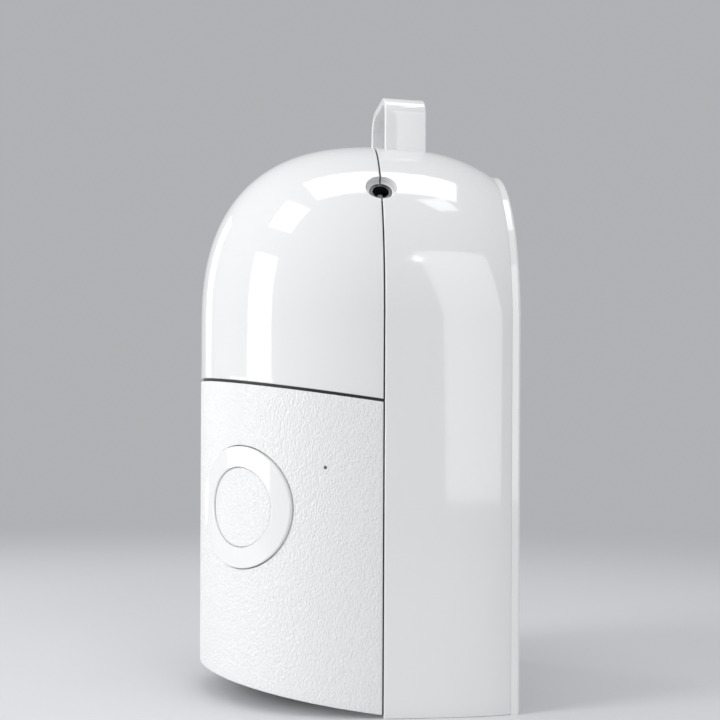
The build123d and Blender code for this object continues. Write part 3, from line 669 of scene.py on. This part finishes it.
class LAMP_OT_front_panel(bpy.types.Operator):
    """Front panel: a half ellipse drawn up between two slanted edges, with openings for the button and the light"""

    bl_idname = "lamp.front_panel"
    bl_label = "Build the front panel"

    def execute(self, context):
        form = context.scene.lamp_form
        details = context.scene.lamp_details
        high = form.groove_height - form.groove_gap / 2 / math.cos(form.rake)
        outer = front_sheet(form, form.rim_height, high, rows=40)
        inner = front_sheet(form, form.rim_height, high, rows=40, flat_inset=form.cover_wall)
        button = front_place(form, details.button_angle, details.button_height)
        status = front_place(form, details.status_angle, details.status_height)
        radius = details.ring_radius
        openings = [
            cylinder(button, radius + details.ring_gap, -radius / 2, radius),
            cylinder(status, details.status_radius, -form.rear_wall, form.rear_wall),
        ]
        shape = closed_shell(outer, inner)
        make_piece("front_panel_skin", shape, "case", "front_panel", "grain_white", openings)
        return {"FINISHED"}


class LAMP_OT_rear_shell(bpy.types.Operator):
    """Rear shell: the squarer rear half from seam to base plate, mirrored, and the flat seat with its openings"""

    bl_idname = "lamp.rear_shell"
    bl_label = "Build the rear shell"

    def execute(self, context):
        form = context.scene.lamp_form
        details = context.scene.lamp_details
        points, faces = closed_shell(rear_sheet(form), rear_sheet(form, flat_inset=form.rear_wall))
        mirrored = points * np.array((-1.0, 1.0, 1.0))
        shape = np.concatenate((points, mirrored)), np.concatenate((faces, faces[:, ::-1] + len(points)))
        socket = socket_cutter(form, details)
        make_piece("rear_skin", shape, "case", "rear_shell", "gloss_white", [socket])
        self.build_seat(form, details)
        return {"FINISHED"}

    def build_seat(self, form, details):
        """A flat slab inside the rear shell's outline, with the hand's opening and the screw wells cut through it."""
        face = form.base_depth - details.seat_sink
        levels = (face + form.axis_offset, face - details.seat_thickness + form.axis_offset)
        shape = slab(base_outline(form, form.edge_round), levels)
        middle = form.base_depth + form.axis_offset
        deep = 2 * details.seat_thickness
        wide, tall = outline_width(form, 0.0, details.opening_inset), details.opening_height
        corners = np.array([(-wide, -tall), (wide, -tall), (wide, tall), (-wide, tall)])
        openings = [slab(corners, (middle - deep, middle + deep))]
        for side in (-1, 1):
            for height in details.boss_heights:
                place = (np.array((side * details.boss_x, middle, height)), ACROSS, UP, BACK)
                openings.append(cylinder(place, details.well_radius, -deep, deep))
        make_piece("rear_seat", shape, "case", "rear_shell", "gloss_white", openings)


class LAMP_OT_button(bpy.types.Operator):
    """Button: a round cap and its ring, turned profiles carried along the button's normal onto the body's ellipse"""

    bl_idname = "lamp.button"
    bl_label = "Build the button and its ring"

    def execute(self, context):
        form = context.scene.lamp_form
        details = context.scene.lamp_details
        size, foot = form.edge_round, form.cover_wall
        rim, outside = details.cap_radius + details.cap_gap, details.ring_radius
        top = -details.ring_proud
        ring = [(outside, foot), *self.corner(outside, top, size, outward=True)]
        ring += [(rim + share * (outside - rim), top) for share in np.linspace(0.95, 0.05, 24)]
        ring += [*self.corner(rim, top, size, outward=False), (rim, foot), (outside, foot)]
        self.build(context, ring, "button_ring_skin", "case", "button_ring", "ring_white")
        radius, top = details.cap_radius, -details.cap_proud
        cap = [(CENTRE_RADIUS, top)]
        cap += [(share * (radius - size), top) for share in np.linspace(0.05, 0.97, 28)]
        cap += [*self.corner(radius, top, size, outward=True)[::-1], (radius, foot), (CENTRE_RADIUS, foot)]
        self.build(context, cap, "button_cap_skin", "button", "button_cap", "grain_white")
        return {"FINISHED"}

    def corner(self, radius, top, size, outward):
        """A quarter round, as (radius, inset) pairs, between a wall at a radius and a top at an inset."""
        sign = 1 if outward else -1
        turns = np.radians(np.linspace(0, 90, 6))
        pairs = [(radius - sign * size * (1 - math.cos(t)), top + size * (1 - math.sin(t))) for t in turns]
        return pairs if outward else pairs[::-1]

    def build(self, context, profile, name, body, node, slot_name, steps=180):
        """A piece whose points are the (radius, inset) profile turned about the normal and laid on the inset forms."""
        form, details = context.scene.lamp_form, context.scene.lamp_details
        place = front_place(form, details.button_angle, details.button_height)
        turns = 2 * math.pi * np.arange(steps + 1) / steps
        rows = [on_form(form, place, r * np.cos(turns), r * np.sin(turns), inset) for r, inset in profile]
        shape = np.array(rows), grid_faces(len(rows), steps + 1)
        make_piece(name, shape, body, node, slot_name)


class LAMP_OT_loop(bpy.types.Operator):
    """Carrying loop: a rounded rectangle carried along an upturned U with round corners"""

    bl_idname = "lamp.loop"
    bl_label = "Build the carrying loop"

    def execute(self, context):
        form = context.scene.lamp_form
        details = context.scene.lamp_details
        span = np.array((math.cos(details.loop_turn), math.sin(details.loop_turn), 0.0))
        along = np.array((-span[1], span[0], 0.0))
        middle = np.array((details.loop_spot[0], details.loop_spot[1] + form.axis_offset, 0.0))
        middle -= along * details.loop_width / 2
        x, z, turn = np.array(self.path(form, details)).T[:, :, None, None]
        wide, depth = np.array(self.section(details)).T[:, :, None]
        outward = np.cos(turn) * span + np.sin(turn) * UP
        points = middle + x * span + z * UP + wide * along - depth * outward
        rows, count = points.shape[:2]
        ring = np.arange(count - 1)
        faces = [*grid_faces(rows, count), ring, ring[::-1] + (rows - 1) * count]
        make_piece(
            "carry_loop_skin", (points, faces), "case", "carry_loop", "gloss_white", sharp=LOOP_SHARP_ANGLE,
        )
        return {"FINISHED"}

    def path(self, form, details):
        """The outer face's line as (distance across, height, turn of the outward direction), from foot to foot: a
        leg, a quarter circle and half the top, then the same mirrored."""
        half, bend, top = details.loop_half_span, details.loop_bend, details.loop_top
        foot = form.dome_start + form.dome_height - details.loop_sink
        path = [(half, z, 0.0) for z in np.linspace(foot, top - bend, 10)[:-1]]
        for turn in np.radians(np.linspace(0, 90, 19)):
            path.append((half - bend + bend * math.cos(turn), top - bend + bend * math.sin(turn), turn))
        path += [(x, top, math.pi / 2) for x in np.linspace(half - bend, 0, 8)[1:]]
        return path + [(-x, z, math.pi - turn) for x, z, turn in path[-2::-1]]

    def section(self, details):
        """The strip's section as (distance along its width, depth below its outer face), closed."""
        wide, thick, size = details.loop_width, details.loop_thickness, details.loop_round
        right, low = wide - size, thick - size
        pairs = []
        for across, depth, start in ((right, size, 0), (right, low, 90), (size, low, 180), (size, size, 270)):
            for turn in np.radians(np.linspace(start, start + 90, 5)):
                pairs.append((across + size * math.sin(turn), depth - size * math.cos(turn)))
        return pairs + [pairs[0]]


class LAMP_OT_finishes(bpy.types.Operator):
    """Finishes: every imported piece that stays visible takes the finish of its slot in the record"""

    bl_idname = "lamp.finishes"
    bl_label = "Dress the packed pieces"

    def execute(self, context):
        for entry in frame["record"]["subparts"]:
            node = frame["nodes"][entry["node"]]
            if not node.hide_render:
                dress(node, "pin_metal" if entry["node"] == "socket_pin" else entry["material_slot"])
        return {"FINISHED"}


# Soft boxes: name, place, width and height, watts, and the point they face
MIDDLE = (0, 0, 0.1)
SOFT_BOXES = (
    ("crown_box", (0.29, -0.78, 0.33), (0.27, 0.60), 3.0, (0, 0, 0.33)),
    ("low_box", (0.14, -0.84, 0.056), (0.5, 0.1), 1.0, (0, 0, 0.056)),
    ("upper_box", (0.25, -0.62, 0.98), (0.30, 0.30), 1.17, MIDDLE),
    ("far_strip", (-0.55, -0.60, 0.25), (0.16, 0.7), 1.0, MIDDLE),
    ("overhead_box", (0.08, 0.0, 0.95), (0.62, 0.28), 2.1, (0.06, 0, 0.1)),
    ("base_strip", (0.45, 0.70, 0.25), (0.20, 0.7), 0.15, MIDDLE),
    ("base_window", (0.30, 0.24, 0.95), (0.12, 0.12), 0.14, MIDDLE),
    ("camera_panel", (1.05, 0.46, 0.36), (0.46, 1.2), 3.2, MIDDLE),
    ("dash_window", (0.94, 0.182, 0.78), (0.022, 0.06), 0.03, MIDDLE),
)


class LAMP_OT_studio(bpy.types.Operator):
    """Studio: a wide pale floor that fades into a soft grey surround, soft lamps and the camera"""

    bl_idname = "lamp.studio"
    bl_label = "Set up the studio"

    def execute(self, context):
        stage = context.scene.lamp_stage
        self.build_floor(stage, context.scene.lamp_colours)
        self.build_lamps()
        self.build_world(context, stage)
        self.build_camera(context, stage)
        context.scene.view_settings.view_transform = "Standard"
        return {"FINISHED"}

    def build_floor(self, stage, colours):
        """A disc of rings of points, distance times (cos, sin) of the turn, whose paper fades into the surround."""
        distances = np.array((1e-4, 0.5, 1.0, 2.0, 3.0, 4.0, 8.0, 16.0))[:, None]
        turns = 2 * math.pi * np.arange(97) / 96
        points = np.stack((distances * np.cos(turns), distances * np.sin(turns), 0 * distances * turns), -1)
        floor = new_object("floor", points, grid_faces(len(distances), len(turns), flipped=True))
        material = speckled_material("studio_paper", colours.paper, colours.paper_fleck, 3.0, 0.6)
        tree = material.node_tree
        reach = new_node(tree, "ShaderNodeVectorMath", {0: object_place(tree)}, "LENGTH")
        fade = new_node(tree, "ShaderNodeMapRange", {
            "Value": reach.outputs["Value"], "From Min": stage.fade_start, "From Max": stage.fade_end,
        })
        fade.interpolation_type = "SMOOTHSTEP"
        glow = new_node(tree, "ShaderNodeEmission", {
            "Color": (*stage.surround_colour, 1.0), "Strength": stage.surround_light,
        })
        paper = tree.nodes["Principled BSDF"].outputs["BSDF"]
        mix = new_node(tree, "ShaderNodeMixShader", {
            "Fac": fade.outputs["Result"], 1: paper, 2: glow.outputs["Emission"],
        })
        feed(tree, tree.nodes["Material Output"], {"Surface": mix.outputs["Shader"]})
        floor.data.materials.append(material)

    def build_lamps(self):
        """Soft boxes: tall, low and high ones by the crown, a strip on the far side, one box overhead, a strip and
        a window by the base, and a tall panel and a small window by the camera, which sees only what they light."""
        for name, spot, size, power, target in SOFT_BOXES:
            data = bpy.data.lights.new(name, "AREA")
            data.shape = "RECTANGLE"
            data.size, data.size_y = size
            data.energy = power
            lamp = bpy.data.objects.new(name, data)
            bpy.context.scene.collection.objects.link(lamp)
            lamp.visible_camera = False
            away = Vector(spot) - Vector(target)
            lamp.matrix_world = Matrix.Translation(spot) @ away.to_track_quat("Z", "Y").to_matrix().to_4x4()

    def build_world(self, context, stage):
        """A soft grey surround."""
        world = bpy.data.worlds.new("surround")
        world.use_nodes = True
        feed(world.node_tree, world.node_tree.nodes["Background"], {
            "Color": (*stage.surround_colour, 1.0), "Strength": stage.surround_light,
        })
        context.scene.world = world

    def build_camera(self, context, stage):
        """A level camera with a vertical shift, which keeps uprights parallel, and a small roll."""
        data = bpy.data.cameras.new("camera")
        data.lens = stage.lens
        data.sensor_width = 36.0
        data.shift_y = stage.shift
        data.dof.use_dof = False
        data.clip_start = 0.01
        camera = bpy.data.objects.new("camera", data)
        context.scene.collection.objects.link(camera)
        along = stage.camera_y + context.scene.lamp_form.axis_offset
        spot = Matrix.Translation((stage.camera_x, along, stage.camera_height))
        look = Matrix.Rotation(math.pi / 2 + stage.camera_turn, 4, "Z") @ Matrix.Rotation(math.pi / 2, 4, "X")
        camera.matrix_world = spot @ look @ Matrix.Rotation(stage.camera_roll, 4, "Z")
        context.scene.camera = camera


STEPS = (
    LAMP_OT_front_dome, LAMP_OT_front_panel, LAMP_OT_rear_shell, LAMP_OT_button, LAMP_OT_loop,
    LAMP_OT_finishes, LAMP_OT_studio,
)


class LAMP_PT_panel(bpy.types.Panel):
    """The lamp's sizes and steps"""

    bl_idname = "LAMP_PT_panel"
    bl_label = "Lamp"
    bl_space_type = "VIEW_3D"
    bl_region_type = "UI"
    bl_category = "Lamp"

    def draw(self, context):
        for step in STEPS:
            self.layout.operator(step.bl_idname)
        scene = context.scene
        for group in (scene.lamp_form, scene.lamp_details, scene.lamp_colours, scene.lamp_stage):
            box = self.layout.box()
            for key in group.__annotations__:
                box.prop(group, key)


CLASSES = (LampForm, LampDetails, LampColours, LampStage, *STEPS, LAMP_PT_panel)


def register():
    for item in CLASSES:
        bpy.utils.register_class(item)
    bpy.types.Scene.lamp_form = PointerProperty(type=LampForm)
    bpy.types.Scene.lamp_details = PointerProperty(type=LampDetails)
    bpy.types.Scene.lamp_colours = PointerProperty(type=LampColours)
    bpy.types.Scene.lamp_stage = PointerProperty(type=LampStage)


def unregister():
    del bpy.types.Scene.lamp_stage
    del bpy.types.Scene.lamp_colours
    del bpy.types.Scene.lamp_details
    del bpy.types.Scene.lamp_form
    for item in reversed(CLASSES):
        bpy.utils.unregister_class(item)


def main():
    register()
    bpy.ops.lamp.front_dome()
    bpy.ops.lamp.front_panel()
    bpy.ops.lamp.rear_shell()
    bpy.ops.lamp.button()
    bpy.ops.lamp.loop()
    bpy.ops.lamp.finishes()
    bpy.ops.lamp.studio()


if __name__ == "__main__":
    main()
